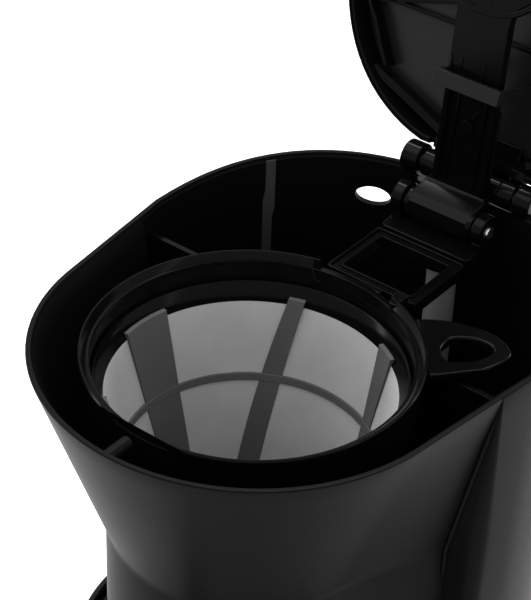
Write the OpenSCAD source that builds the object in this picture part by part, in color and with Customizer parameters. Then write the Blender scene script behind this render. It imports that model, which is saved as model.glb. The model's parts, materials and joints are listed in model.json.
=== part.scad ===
// Drip coffee maker with its lid open. Millimetres, +Z up, front towards -Y.
// The brew axis is drawn at x = 0, y = 0 and the whole machine is then moved by y_mid.

/* [Body] */
// Height of the basket ring above the table
ring_z = 265; // [262:0.5:268]
// Wall thickness of the outer shell
wall = 2.5; // [2.2:0.1:2.8]
// How much narrower the column is at its foot, each side
taper = 3.4; // [2:0.2:4]
// Height of the top of the base
base_top = 32; // [31:0.5:33]
// Radius of the jug bay
bay_r = 65; // [64.5:0.1:65.5]

/* [Lid and arm] */
// Angle the lid stands open from closed
lid_open = 109.5; // [108:0.5:111]
// Backward lean of the open spray arm
arm_lean = 5.5; // [4.5:0.5:6.5]
// Length of the spray arm from its pin to the spray head
arm_len = 98; // [94:1:100]

/* [Basket and filter] */
// Outer radius of the basket ring
ring_r = 55; // [54.5:0.1:55.2]
// Radius of the filter rim
filter_r = 50.7; // [50.3:0.1:50.8]

/* [Jug] */
// Largest radius of the jug glass
jug_r = 60; // [59:0.5:60.5]
// Glass thickness
glass_t = 2; // [1.8:0.1:2.4]

/* [Hidden] */
y_mid = 50.83;
half_w = 77;
front_r = 71.2;
back_y = 42;
back_b = 81.5;
side_y = 28;
rim_z = ring_z + 2.3;
neck_z = ring_z - 68;
neck_r = 47;
neck_foot = ring_z - 118;
bay_y = 6;
floor_z = 115;
hinge_y = 123.5;
hinge_z = ring_z + 3.5;
lid_in = 4.2;
arm_y = 107;
arm_z = ring_z - 2.5;
seat_top = ring_z - 8;
riser_y = 110;
jug_y = 4;
plate_z = base_top + 1;
jug_z = plate_z + 0.4;
jug_top = 126.7;
pipe_z = 24;
gap = 0.3;

black = [0.06, 0.06, 0.065];
dark = [0.13, 0.13, 0.14];
steel = [0.7, 0.7, 0.72];

// Plan outlines. d is the inset from the outer face.
function back_pts(d, n = 30) = [for (i = [0:n]) let (t = 180 * i / n, c = cos(t), s = sin(t))
    [(half_w - d) * sign(c) * pow(abs(c), 1 / 1.2), back_y + (back_b - d) * pow(abs(s), 1 / 1.2)]];
function arc_pts(r, a, b, n) = [for (i = [0:n]) let (t = a + (b - a) * i / n) [r * cos(t), r * sin(t)]];
function outline(d) = concat(back_pts(d), arc_pts(front_r - d, 188.6, 351.4, 26));
// Lower outline of the cone, closed at the back by a line at y = back.
function cone_pts(d, back) = concat([[61.2 - d, back], [d - 61.2, back], [d - 57, 18],
    [d - 50, -6]], arc_pts(neck_r - d, 193, 347, 22), [[50 - d, -6], [57 - d, 18]]);
function neck_pts(d) = concat([for (t = [10:10:170]) [(57 - d) * cos(t), 8 + (57 - d) * sin(t)]],
    [[d - 50, -6]], arc_pts(neck_r - d, 193, 347, 22), [[50 - d, -6]]);

module slab(pts, z, h = 0.2) { translate([0, 0, z]) linear_extrude(h) polygon(pts); }
module disc(r, z, h, y = 0, x = 0) { translate([x, y, z]) cylinder(r = r, h = h, $fn = 96); }
module xrod(r, x0, x1, y, z) { translate([x0, y, z]) rotate([0, 90, 0]) cylinder(r = r, h = x1 - x0, $fn = 48); }
module front_half(d) { translate([-100, -200, -10]) cube([200, 200 + side_y + d + 0.01, 500]); }

// Solid of the column and head, inset by d, from foot to top.
module column_solid(d, foot, top) {
    difference() {
        hull() { slab(outline(d), top - 0.2); slab(outline(d + taper), foot); }
        front_half(d);
        translate([0, bay_y, -1]) cylinder(r = bay_r + d, h = neck_z + d + 1, $fn = 120);
    }
}
module cone_solid(d, top) {
    intersection() {
        hull() { slab(outline(d), top - 0.2); slab(cone_pts(d, side_y + d + 0.02), neck_z + d); }
        front_half(d);
    }
}
module neck_solid(d, top) {
    slab(neck_pts(d), neck_foot + 14, top - neck_foot - 14);
    slab(cone_pts(d, side_y - d), neck_foot + 14 + d, top - neck_foot - 14 - d);
    hull() { slab(neck_pts(d), neck_foot + 14); slab(neck_pts(d + 9), neck_foot + d); }
}

module housing() color(black) difference() {
    union() {
        column_solid(0, base_top, rim_z);
        cone_solid(0, rim_z);
        neck_solid(0, neck_z + 1);
        for (s = [-1, 1]) {
            xrod(6, s * 23.5 - 3.5, s * 23.5 + 3.5, hinge_y, hinge_z);
            translate([s * 23.5 - 3.5, 119.4, hinge_z - 14]) cube([7, 10.1, 14]);
        }
    }
    difference() {
        union() {
            column_solid(wall, base_top - 1, rim_z + 1);
            cone_solid(wall, rim_z + 1);
            neck_solid(wall, neck_z + wall + 1);
        }
        for (s = [-1, 1]) {
            translate([s * 23.5 - 3.5, 119.4, hinge_z - 14]) cube([7, 10.1, 14]);
            xrod(6, s * 23.5 - 3.5, s * 23.5 + 3.5, hinge_y, hinge_z);
        }
        translate([0, -70, ring_z - 1]) rotate([-90, 0, 0]) cylinder(r = 2.2, h = 11, $fn = 32);
    }
    disc(17, neck_foot - 1, 8);
    translate([-35.2, 115, ring_z - 14]) rotate([-90, 0, 27]) translate([0, 0, -8]) {
        for (x = [-2.75, 2.75]) translate([x, 0, 0]) cylinder(r = 3.8, h = 30, $fn = 40);
        translate([-2.75, -3.8, 0]) cube([5.5, 7.6, 30]);
    }
    xrod(2.6, -30, 30, hinge_y, hinge_z);
    for (s = [-1, 1]) translate([s * 16 - 3.4, 116, hinge_z - 5.6]) cube([6.8, 12, 12]);
    for (x = [-45, 45]) disc(1.6, base_top - 1, 12, 105, x);
}

// Inner moulding: basket seat, cross partition, head floor and tank floor.
module tank() color(black) difference() {
    intersection() {
        union() {
            disc(54, neck_z + wall + gap, 65.6 - wall - gap);
            for (s = [-1, 1]) translate([s * 59 - 17.5, 34, neck_z + wall + gap]) cube([35, 2, 59]);
            translate([-90, 34, neck_z + wall + gap]) cube([180, 31, 2]);
            translate([-90, 20, floor_z]) cube([180, 120, 2.4]);
        }
        union() {
            column_solid(wall + gap, base_top, rim_z);
            cone_solid(wall + gap, rim_z);
        }
    }
    disc(51.8, neck_z, 80);
    translate([0, 0, ring_z - 6]) linear_extrude(8) polygon([[20, 40], [47, 20], [80, 20], [80, 70], [24, 70]]);
    disc(5.9, floor_z - 1, 5, riser_y);
    disc(5.2, floor_z - 1, 5, 98, 34);
}

module bridge() color(black) {
    difference() {
        translate([-18.3, 63.6, ring_z - 14.7]) cube([36.6, 31.3, 5]);
        translate([-14, 67.9, ring_z - 20]) cube([28, 22.7, 20]);
    }
    translate([-8, 60.6, ring_z - 13]) cube([16, 3.1, 2.4]);
    for (s = [-1, 1]) translate([s * 16.2 - 1.5, 63.8, neck_z + wall + 2.6]) cube([3, 1.2, 51]);
}

module arm_seat() color(black) difference() {
    union() {
        translate([-18.3, 95.2, seat_top - 6]) cube([36.6, 24, 6]);
        for (s = [-1, 1]) {
            xrod(6.2, s * 16.7 - 2.2, s * 16.7 + 2.2, arm_y, arm_z);
            translate([s * 16.7 - 2.2, arm_y - 6.2, seat_top - 1]) cube([4.4, 12.4, arm_z - seat_top + 1]);
        }
        disc(8.5, seat_top - 16, 10.5, riser_y);
    }
    xrod(2.3, -20, 20, arm_y, arm_z);
    disc(5.6, seat_top - 17, 13, riser_y);
    disc(3.6, seat_top - 5, 6, riser_y);
}

module arm_pin() color(steel) xrod(2.25, -19.5, 19.5, arm_y, arm_z);

// Spray arm, drawn upright on its pin and leaned back. n is the distance behind the pin.
module arm_frame() { translate([0, arm_y, arm_z]) rotate([-arm_lean, 0, 0]) children(); }
module spray_arm() color(black) arm_frame() difference() {
    union() {
        xrod(5.4, -14, 14, 0, 0);
        translate([-11.5, 0.5, -3]) cube([23, 8.5, 9]);
        translate([-10.2, 5.6, 4]) cube([20.4, 4, 54]);
        translate([0, 9.6, 0]) rotate([90, 0, 0]) linear_extrude(4)
            polygon([[-10.2, 56], [10.2, 56], [10.2, 73], [16, 82], [16, 86], [-16, 86], [-16, 82], [-10.2, 73]]);
        translate([0, 9.6, arm_len]) rotate([90, 0, 0]) cylinder(r = 25, h = 6, $fn = 80);
        translate([0, 9.6, 31]) rotate([90, 0, 0]) cylinder(r = 2.6, h = 3.6, $fn = 40);
    }
    xrod(2.3, -15, 15, 0, 0);
    difference() {
        translate([-8.4, 4, 9]) cube([16.8, 2.9, 47]);
        translate([0, 9.6, 31]) rotate([90, 0, 0]) cylinder(r = 2.6, h = 3.6, $fn = 40);
    }
    translate([0, 5, arm_len]) rotate([90, 0, 0]) cylinder(r = 22.8, h = 3, $fn = 80);
    translate([0, 8.2, arm_len]) rotate([90, 0, 0]) cylinder(r = 20, h = 4, $fn = 80);
}
module spray_plate() color(dark) arm_frame() difference() {
    translate([0, 4.7, arm_len]) rotate([90, 0, 0]) cylinder(r = 22.5, h = 1.6, $fn = 80);
    for (i = [0:7]) translate([14 * cos(45 * i), 6, arm_len + 14 * sin(45 * i)])
        rotate([90, 0, 0]) cylinder(r = 1.3, h = 4, $fn = 24);
    translate([0, 6, arm_len]) rotate([90, 0, 0]) cylinder(r = 1.8, h = 4, $fn = 24);
}

// Lid parts are drawn closed and swung open about the hinge.
module open_lid() { translate([0, hinge_y, hinge_z]) rotate([-lid_open, 0, 0]) translate([0, -hinge_y, -hinge_z]) children(); }
module lid_solid(d) {
    hull() {
        slab(outline(lid_in + d), ring_z + 2.6 - (d > 0 ? 1 : 0));
        slab(outline(lid_in + d), ring_z + 8);
        slab(outline(lid_in + 2.4 + d), ring_z + 13 - d * 0.6);
        slab(outline(13 + d), ring_z + 17 - d * 0.9);
        slab(outline(26 + d), ring_z + 19 - d);
    }
}
module lid_shell() color(black) open_lid() {
    difference() {
        lid_solid(0);
        lid_solid(2.2);
        translate([-100, 117, 0]) cube([200, 60, 400]);
        translate([-30, 104, ring_z - 10]) cube([60, 40, 16]);
    }
    difference() {
        intersection() {
            lid_solid(1);
            union() {
                translate([-60, 114.5, ring_z + 6.2]) cube([120, 2.5, 20]);
                for (s = [-1, 1]) translate([s * 16 - 3, 111, ring_z + 8]) cube([6, 6, 12]);
            }
        }
        translate([-12, 100, ring_z]) cube([24, 13, 14]);
    }
    for (s = [-1, 1]) difference() {
        union() {
            xrod(5, s * 16 - 3, s * 16 + 3, hinge_y, hinge_z);
            translate([s * 16 - 3, 115, hinge_z]) cube([6, 8.5, 5]);
            translate([s * 16 - 3, 115, hinge_z + 1]) cube([6, 3, 12]);
        }
        xrod(2.6, s * 16 - 4, s * 16 + 4, hinge_y, hinge_z);
    }
}
module lid_pins() color(steel) for (s = [-1, 1]) xrod(2.55, s * 20 - 6.8, s * 20 + 6.8, hinge_y, hinge_z);

module lid_liner() color(dark) open_lid() difference() {
    union() {
        slab(outline(13), ring_z + 11, 1.8);
        difference() {
            slab(outline(13), ring_z + 5, 6.1);
            slab(outline(15), ring_z + 4, 9);
            translate([-100, 78, 0]) cube([200, 60, 400]);
        }
    }
    translate([-60, 98, ring_z]) cube([120, 40, 40]);
    for (x = [-40, 40], y = [-20, 50]) disc(1.5, ring_z, 30, y, x);
}
module lid_screws() color(steel) open_lid() for (x = [-40, 40], y = [-20, 50]) {
    disc(1.4, ring_z + 9, 6.4, y, x);
    disc(2.8, ring_z + 8.9, 2, y, x);
}
// Cross bar with two legs that stands on the lid and lifts the spray arm.
module lid_bridge() color(dark) open_lid() {
    translate([-13.1, 84.8, ring_z - 20.6]) cube([26.2, 5.4, 3]);
    for (s = [-1, 1]) {
        translate([s * 12.3 - 0.8, 84.8, ring_z - 20.4]) cube([1.6, 5.4, 31.3]);
        translate([s * 14 - 2, 83.5, ring_z + 8.8]) cube([4, 8, 2]);
    }
}

// Basket: ring, funnel, spout and looped handle in one moulding.
module basket() color(black) difference() {
    union() {
        rotate_extrude($fn = 120) translate([0, ring_z]) polygon([[51.1, 0], [ring_r, 0], [ring_r, -2.3],
            [51.4, -2.3], [51.4, -22], [42.3, -70], [38, -96], [36, -100], [9, -104], [9, -112], [2.8, -112],
            [2.8, -110.4], [6.4, -110.4], [6.4, -102.2], [36, -98], [40.2, -70], [49.3, -22], [49.3, -11.5],
            [50.9, -11.5]]);
        translate([0, 0, ring_z - 5.6]) linear_extrude(3.4) difference() {
            polygon([[28.5, 47], [28.3, 49.1], [32.2, 52.6], [37.8, 55.9], [44.2, 57.9], [51, 59.2],
                [56.5, 57.9], [61.3, 55.1], [63, 52], [62.6, 47.2], [60.7, 41.5], [57.7, 37.6],
                [49.1, 26.9], [46.5, 26.5]]);
            polygon([[43, 41.5], [43, 48.5], [50, 52.5], [55.5, 53], [57.6, 50], [56, 44], [50, 37.5], [47, 37]]);
        }
    }
    disc(51, ring_z - 11.5, 20);
    for (i = [0:3]) rotate([0, 0, 45 + 90 * i]) disc(1.2, ring_z - 113, 4, 0, 4.6);
}

// Permanent filter: rim, leaning ribs, one ring rib and a bottom disc.
module filter_frame() color(dark) translate([0, 0, ring_z]) {
    rotate_extrude($fn = 120) polygon([[46, -11.3], [filter_r, -11.3], [filter_r, -9.3], [46.2, -9.3], [46, -10]]);
    rotate_extrude($fn = 120) polygon([[46, -11.4], [48.4, -11.4], [47.9, -15.5], [45.6, -15.5]]);
    rotate_extrude($fn = 120) polygon([[41.4, -42.4], [43.5, -42.4], [43.1, -45.2], [41, -45.2]]);
    rotate_extrude($fn = 120) polygon([[0, -80], [36.6, -80], [36.6, -77.4], [33, -77.4], [33, -78.4], [0, -78.4]]);
    for (r = [[166, 22], [106, 9], [54, 9], [286, 9], [346, 9], [230, 18]])
        rotate([0, 0, r[0]]) rotate_extrude(angle = r[1], $fn = 120)
            polygon([[45.9, -13], [48.1, -13], [43.3, -44], [36.5, -79], [34.3, -79], [41.1, -44]]);
}
module filter_mesh() color([0.6, 0.6, 0.62]) translate([0, 0, ring_z]) difference() {
    rotate_extrude($fn = 120) polygon([[47, -15.8], [47.3, -15.8], [42.4, -43.9], [35.6, -77.2], [35.3, -77.2], [42.1, -43.9]]);
    rotate_extrude($fn = 120) polygon([[41.2, -42.1], [44, -42.1], [44, -45.5], [41, -45.5]]);
    for (r = [[166, 22], [106, 9], [54, 9], [286, 9], [346, 9], [230, 18]])
        rotate([0, 0, r[0] - 0.3]) rotate_extrude(angle = r[1] + 0.6, $fn = 120)
            polygon([[30, -10], [50, -10], [50, -81], [30, -81]]);
}

// Anti drip stem, drawn closed.
module drip_valve() color(dark) rotate_extrude($fn = 60) translate([0, ring_z])
    polygon([[0, -98], [7, -98], [7, -99.6], [2.5, -99.6], [2.5, -124.2], [2, -124.2], [2, -126.1],
        [2.5, -126.1], [2.5, -130], [1.5, -131], [0, -131]]);
module valve_seal() color(dark) rotate_extrude($fn = 60) translate([0, ring_z])
    polygon([[2.6, -99.7], [8.6, -99.7], [8.6, -101.2], [2.6, -101.2]]);
module valve_washer() color(steel) rotate_extrude($fn = 60) translate([0, ring_z])
    polygon([[2.1, -124.4], [5.4, -124.4], [5.4, -125.9], [2.1, -125.9]]);
module valve_spring() color(steel) translate([0, 0, ring_z - 124.2])
    linear_extrude(12, twist = -360 * 5, slices = 90) polygon(concat(
        [for (i = [0:6]) let (u = i / 3 - 1) let (r = 4 + 0.45 * sqrt(1 - u * u)) [r * cos(60 * u), r * sin(60 * u)]],
        [for (i = [5:-1:1]) let (u = i / 3 - 1) let (r = 4 - 0.45 * sqrt(1 - u * u)) [r * cos(60 * u), r * sin(60 * u)]]));

// Water path inside the column.
module riser() color([0.75, 0.75, 0.74]) difference() {
    union() { disc(5.5, 107, seat_top - 4.1 - 107, riser_y); disc(3.2, 94, 14, riser_y); }
    disc(2.2, 93, 200, riser_y);
}
module check_valve() color(dark) difference() {
    union() { disc(5, 104, 14, 98, 34); disc(8, floor_z + 2.7, 2, 98, 34); disc(3.2, 92, 14, 98, 34); }
    disc(2.2, 91, 40, 98, 34);
}
module tube(x, y0, y1, z1) {
    difference() {
        union() {
            translate([x, y0, pipe_z]) rotate([-90, 0, 0]) cylinder(r = 4.7, h = y1 - 14 - y0, $fn = 40);
            translate([x, y1 - 14, pipe_z + 14]) rotate([0, 90, 0]) rotate_extrude(angle = 90, $fn = 80)
                translate([14, 0]) circle(r = 4.7, $fn = 40);
            translate([x, y1, pipe_z + 14]) cylinder(r = 4.7, h = z1 - pipe_z - 14, $fn = 40);
        }
        translate([x, y0 - 1, pipe_z]) rotate([-90, 0, 0]) cylinder(r = 3.3, h = y1 - 13 - y0, $fn = 40);
        translate([x, y1 - 14, pipe_z + 14]) rotate([0, 90, 0]) rotate_extrude(angle = 90, $fn = 80)
            translate([14, 0]) circle(r = 3.3, $fn = 40);
        translate([x, y1, pipe_z + 13.9]) cylinder(r = 3.3, h = z1 - pipe_z, $fn = 40);
    }
}
module hot_tube() color([0.8, 0.8, 0.78]) tube(0, 48.6, riser_y, 106);
module cold_tube() color([0.8, 0.8, 0.78]) tube(34, 34, 98, 103.6);
module clamp_ring(h) difference() { cylinder(r = 5.7, h = h, $fn = 40); translate([0, 0, -1]) cylinder(r = 4.8, h = h + 2, $fn = 40); }
module tube_clamps() color(steel) {
    translate([0, riser_y, 96]) clamp_ring(5);
    translate([34, 98, 95]) clamp_ring(5);
    translate([0, 52, pipe_z]) rotate([-90, 0, 0]) clamp_ring(5);
    translate([34, 37, pipe_z]) rotate([-90, 0, 0]) clamp_ring(5);
}

// Base.
base_screw_at = [[0, -58], [62, 32], [-62, 32], [48, 88], [-48, 88]];
module base() color(black) difference() {
    union() {
        difference() {
            slab(outline(taper), 2.5, base_top - 2.5);
            slab(outline(taper + 2.4), 1, base_top - 3.4);
        }
        for (p = base_screw_at) disc(4, 5.4, base_top - 6, p[1], p[0]);
    }
    disc(56, base_top - 5, 8, jug_y);
    for (p = [[0, riser_y], [34, 98]]) {
        disc(6.4, base_top - 5, 8, p[1], p[0]);
        translate([p[0] - 6.4, p[1] - 13, base_top - 5]) cube([12.8, 13, 8]);
    }
    for (p = base_screw_at) disc(1.55, 1, 22, p[1], p[0]);
    translate([-30, 105, 16]) rotate([-90, 0, 0]) cylinder(r = 6.3, h = 30, $fn = 60);
    rotate([0, 0, -52]) translate([60, -10.2, 9.8]) cube([12, 20.4, 12.4]);
}
module base_cover() color(dark) difference() {
    slab(outline(taper + 2.8), 2.7, 2.3);
    for (p = base_screw_at) disc(1.7, 1, 6, p[1], p[0]);
    for (i = [-3:3]) translate([i * 9 - 1.5, 55, 1]) cube([3, 22, 6]);
}
module feet() color(dark) for (p = [[46, -34], [-46, -34], [50, 76], [-50, 76]]) disc(8, 0, 2.5, p[1], p[0]);
module base_screws() color(steel) for (p = base_screw_at) {
    disc(1.45, 2.4, 14, p[1], p[0]);
    disc(3, 0.9, 1.7, p[1], p[0]);
}
module hot_plate() color([0.16, 0.16, 0.17]) rotate_plate([[0, 0], [58.2, 0], [58.2, -0.5], [55.4, -0.5], [55.4, -4], [54.4, -4], [54.4, -1.2], [0, -1.2]]);
module rotate_plate(pts) translate([0, jug_y, plate_z]) rotate_extrude($fn = 120) polygon(pts);
module plate_seal() color(dark) rotate_plate([[55.6, -0.6], [58.6, -0.6], [58.6, -0.9], [55.8, -0.9], [55.8, -3], [55.6, -3]]);
module heater() color([0.62, 0.62, 0.64]) {
    translate([0, jug_y, 0]) rotate([0, 0, 90]) rotate_extrude(angle = 296.5, $fn = 120)
        translate([32, 20]) square([12, base_top - 20.4]);
    difference() {
        translate([0, jug_y + 37, pipe_z]) rotate([-90, 0, 0]) cylinder(r = 3.2, h = 20, $fn = 40);
        translate([0, jug_y + 40, pipe_z]) rotate([-90, 0, 0]) cylinder(r = 2.2, h = 20, $fn = 40);
    }
    difference() {
        translate([34, jug_y + 16, pipe_z]) rotate([-90, 0, 0]) cylinder(r = 3.2, h = 27, $fn = 40);
        translate([34, jug_y + 22, pipe_z]) rotate([-90, 0, 0]) cylinder(r = 2.2, h = 22, $fn = 40);
    }
}
module thermostat() color(dark) { disc(8, 13.7, 6, -23, -27); disc(4, 11, 3, -23, -27); }
module fuse() color([0.85, 0.85, 0.82]) xrod(2.8, 14, 42, -23, 16.8);
module switch_frame() color(dark) rotate([0, 0, -52]) difference() {
    union() {
        translate([68, -12, 8]) cube([1.8, 24, 16]);
        translate([58, -10, 10]) cube([10.1, 20, 12]);
    }
    translate([50, -8.8, 11.1]) cube([30, 17.6, 9.8]);
}
module switch_rocker() color([0.5, 0.06, 0.05]) rotate([0, 0, -52]) translate([66, 0, 11.4]) rotate([0, 0, -6])
    difference() {
        linear_extrude(9.2) polygon([[-5, -3], [-5, 3], [0.5, 7.9], [3.6, 8.1], [2.6, 0], [3.6, -8.1], [0.5, -7.9]]);
        translate([0, 0, -1]) cylinder(r = 1.2, h = 12, $fn = 32);
    }
module gland() color(dark) translate([-30, 0, 16]) rotate([-90, 0, 0]) difference() {
    union() { translate([0, 0, 108]) cylinder(r = 6, h = 13.5, $fn = 60); translate([0, 0, 119.4]) cylinder(r = 8, h = 3, $fn = 60); }
    translate([0, 0, 100]) cylinder(r = 3.6, h = 40, $fn = 60);
}

// Jug.
module turn(pts) translate([0, jug_y, 0]) rotate_extrude($fn = 120) polygon(pts);
function jug_side(d) = [[50 - d, jug_z + d], [54.5 - d, jug_z + 1 + d], [jug_r - 2.2 - d, jug_z + 4.5 + d], [jug_r - 0.6 - d, jug_z + 10],
    [jug_r - d, jug_z + 18], [jug_r - d, jug_z + 34], [jug_r - 1.2 - d, jug_z + 48], [jug_r - 3.4 - d, jug_z + 60],
    [jug_r - 6.2 - d, jug_z + 69], [51.5 - d, jug_z + 75], [51.5 - d, jug_top]];
module jug_glass() color([0.8, 0.85, 0.88, 0.4]) turn(concat([[0, jug_z]], jug_side(0),
    [for (i = [10:-1:0]) jug_side(glass_t)[i]], [[0, jug_z + glass_t]]));
module jug_band() color(black) difference() {
    union() {
        turn([[51.8, 110], [54.3, 110], [54.3, 119], [51.8, 119]]);
        translate([-3, jug_y - 68, 110.5]) cube([6, 15, 8]);
    }
    turn([[0, 100], [51.8, 100], [51.8, 125], [0, 125]]);
    xrod(1.6, -5, 5, jug_y - 63, 114.5);
}
module jug_handle() color(black) difference() {
    translate([-8, jug_y, 0]) rotate([90, 0, 90]) linear_extrude(16) polygon([[-54.9, 120], [-66, 123], [-82, 122.4],
        [-92, 118], [-98, 109], [-99.4, 96], [-98, 78], [-94, 62], [-89, 53], [-84, 51], [-80, 54], [-81, 61],
        [-86, 74], [-88.4, 88], [-87, 99], [-82, 106], [-74, 109], [-54.9, 109]]);
    translate([-3.3, jug_y - 68.4, 110]) cube([6.6, 20, 9]);
    xrod(1.6, -9, 9, jug_y - 63, 114.5);
}
module jug_screw() color(steel) { xrod(1.5, -7.8, 8.2, jug_y - 63, 114.5); xrod(3, 8.1, 9.6, jug_y - 63, 114.5); }
module jug_lid() color(black) turn([[8, 127], [46, 127], [46, 117], [48.6, 117], [48.6, 127], [60.6, 127], [61.4, 128],
    [61.4, 132.4], [60.4, 133], [58.6, 132.4], [58.2, 129.4], [13, 129.4], [12, 131], [8, 131]]);

module placed() { translate([0, -y_mid, 0]) children(); }
placed() housing();
placed() tank();
placed() bridge();
placed() arm_seat();
placed() arm_pin();
placed() spray_arm();
placed() spray_plate();
placed() lid_shell();
placed() lid_liner();
placed() lid_bridge();
placed() lid_screws();
placed() lid_pins();
placed() basket();
placed() filter_frame();
placed() filter_mesh();
placed() drip_valve();
placed() valve_seal();
placed() valve_spring();
placed() valve_washer();
placed() riser();
placed() check_valve();
placed() cold_tube();
placed() hot_tube();
placed() tube_clamps();
placed() base();
placed() base_cover();
placed() feet();
placed() base_screws();
placed() hot_plate();
placed() plate_seal();
placed() heater();
placed() thermostat();
placed() fuse();
placed() switch_frame();
placed() switch_rocker();
placed() gland();
placed() jug_glass();
placed() jug_band();
placed() jug_handle();
placed() jug_screw();
placed() jug_lid();
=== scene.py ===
import bpy, bmesh, json, math
from mathutils import Vector, Matrix


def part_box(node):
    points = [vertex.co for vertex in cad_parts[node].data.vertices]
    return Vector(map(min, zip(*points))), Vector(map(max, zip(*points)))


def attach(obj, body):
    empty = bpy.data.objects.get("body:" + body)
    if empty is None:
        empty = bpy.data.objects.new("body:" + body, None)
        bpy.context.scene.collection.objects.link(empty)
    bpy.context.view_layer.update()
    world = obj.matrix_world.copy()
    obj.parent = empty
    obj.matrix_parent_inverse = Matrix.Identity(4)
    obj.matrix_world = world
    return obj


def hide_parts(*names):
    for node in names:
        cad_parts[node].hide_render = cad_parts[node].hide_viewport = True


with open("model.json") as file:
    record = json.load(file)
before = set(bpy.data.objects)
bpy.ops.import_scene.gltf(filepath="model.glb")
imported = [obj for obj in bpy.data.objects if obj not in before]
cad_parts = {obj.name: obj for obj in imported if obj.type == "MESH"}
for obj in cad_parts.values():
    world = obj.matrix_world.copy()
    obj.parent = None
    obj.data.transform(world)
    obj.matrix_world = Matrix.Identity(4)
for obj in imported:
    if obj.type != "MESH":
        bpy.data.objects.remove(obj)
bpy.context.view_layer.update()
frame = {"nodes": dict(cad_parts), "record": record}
nodes = frame["nodes"]

MM = 0.001
ring_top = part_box("basket")[1].z
brew_y = sum(c.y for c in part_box("valve_seal")) / 2

# Driving sizes in millimetres, from the middle of the basket ring's top
RIM, WALL = 2.3, 2.5
HALF_W, BACK_Y, BACK_B, FRONT_R, SIDE_Y = 77, 42, 81.5, 71.2, 28
CORNER_X, NECK_JOINT_X = 75.24, 61.2
TAPER, HEAD_FOOT, FOOT = 3.4, -104, -233
NECK_Z, NECK_R, NECK_FOOT = -68, 47, -118
BAY_R, BAY_Y, BAY_ARC = 65, 6, (19.8, 160.2)
HINGE_Y, HINGE_Z, LID_OPEN = 123.5, 3.5, 109.5
ARM_Y, ARM_Z, ARM_LEAN, ARM_LEN = 107, -2.5, 5.5, 98
JUG_Y, TABLE = 4, 265

# Points along each stretch of the housing's outline
REAR_STEPS, CORNER_STEPS, FACE_POINTS, BEAD_POINTS, CONE_STEPS, FRONT_STEPS = 48, 6, 3, 3, 9, 44

MERGE = 0.00001

def at(x, y, z):
    """A point in millimetres from the middle of the basket ring's top, as a scene point."""
    return Vector((x * MM, brew_y + y * MM, ring_top + z * MM))


# Camera: the front right corner, from above
def make_camera():
    azimuth, elevation, roll = math.radians(36.95), math.radians(35.69), math.radians(2.28)
    back = Vector((math.sin(azimuth) * math.cos(elevation), -math.cos(azimuth) * math.cos(elevation),
                   math.sin(elevation)))
    right = Vector((math.cos(azimuth), math.sin(azimuth), 0))
    up = back.cross(right)
    right_r = right * math.cos(roll) + up * math.sin(roll)
    up_r = up * math.cos(roll) - right * math.sin(roll)
    data = bpy.data.cameras.new("camera")
    data.sensor_width = 36
    data.lens = 118.9
    data.clip_start = 0.05
    cam = bpy.data.objects.new("camera", data)
    bpy.context.scene.collection.objects.link(cam)
    turn = Matrix((right_r, up_r, back)).transposed().to_4x4()
    stand = at(300.7, -394.1, 374.7)
    cam.matrix_world = Matrix.Translation(stand) @ turn
    bpy.context.scene.camera = cam


make_camera()


# Materials
def plastic(name, colour, rough, grain=0.0, grain_size=0.0004, waves=0.0, specular=0.5, speck=0.0):
    """Moulded plastic: a cloudy colour and roughness, fine grain and long shallow waves in the surface."""
    mat = bpy.data.materials.new(name)
    mat.use_nodes = True
    tree = mat.node_tree
    bsdf = tree.nodes["Principled BSDF"]
    bsdf.inputs["Specular IOR Level"].default_value = specular
    coord = tree.nodes.new("ShaderNodeTexCoord")
    cloud = tree.nodes.new("ShaderNodeTexNoise")
    cloud.inputs["Scale"].default_value = 22
    cloud.inputs["Detail"].default_value = 6
    tree.links.new(coord.outputs["Object"], cloud.inputs["Vector"])
    tint = tree.nodes.new("ShaderNodeValToRGB")
    tint.color_ramp.elements[0].position, tint.color_ramp.elements[1].position = 0.3, 0.7
    tint.color_ramp.elements[0].color = [c * 0.86 for c in colour] + [1]
    tint.color_ramp.elements[1].color = [min(1, c * (1.14 + speck)) for c in colour] + [1]
    tree.links.new(cloud.outputs["Fac"], tint.inputs["Fac"])
    tree.links.new(tint.outputs["Color"], bsdf.inputs["Base Color"])
    wear = tree.nodes.new("ShaderNodeMapRange")
    wear.inputs["To Min"].default_value = rough * 0.9
    wear.inputs["To Max"].default_value = min(1, rough * 1.12)
    tree.links.new(cloud.outputs["Fac"], wear.inputs["Value"])
    tree.links.new(wear.outputs["Result"], bsdf.inputs["Roughness"])
    normal = None
    for size, depth in ((grain_size, grain), (0.03, waves)):
        if depth:
            noise = tree.nodes.new("ShaderNodeTexNoise")
            noise.inputs["Scale"].default_value = 1 / size
            noise.inputs["Detail"].default_value = 2
            tree.links.new(coord.outputs["Object"], noise.inputs["Vector"])
            bump = tree.nodes.new("ShaderNodeBump")
            bump.inputs["Strength"].default_value = 1
            bump.inputs["Distance"].default_value = depth
            tree.links.new(noise.outputs["Fac"], bump.inputs["Height"])
            if normal:
                tree.links.new(normal.outputs["Normal"], bump.inputs["Normal"])
            normal = bump
    if normal:
        tree.links.new(normal.outputs["Normal"], bsdf.inputs["Normal"])
    return mat


def metal(name, colour, rough, stretch=(1, 1, 1)):
    """Metal with fine drawn lines along one axis."""
    mat = plastic(name, colour, rough, 0.000004, 0.0006)
    tree = mat.node_tree
    tree.nodes["Principled BSDF"].inputs["Metallic"].default_value = 1
    coord = next(n for n in tree.nodes if n.type == "TEX_COORD")
    mapping = tree.nodes.new("ShaderNodeMapping")
    mapping.inputs["Scale"].default_value = stretch
    tree.links.new(coord.outputs["Object"], mapping.inputs["Vector"])
    for noise in [n for n in tree.nodes if n.type == "TEX_NOISE"]:
        tree.links.new(mapping.outputs["Vector"], noise.inputs["Vector"])
    return mat


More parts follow.
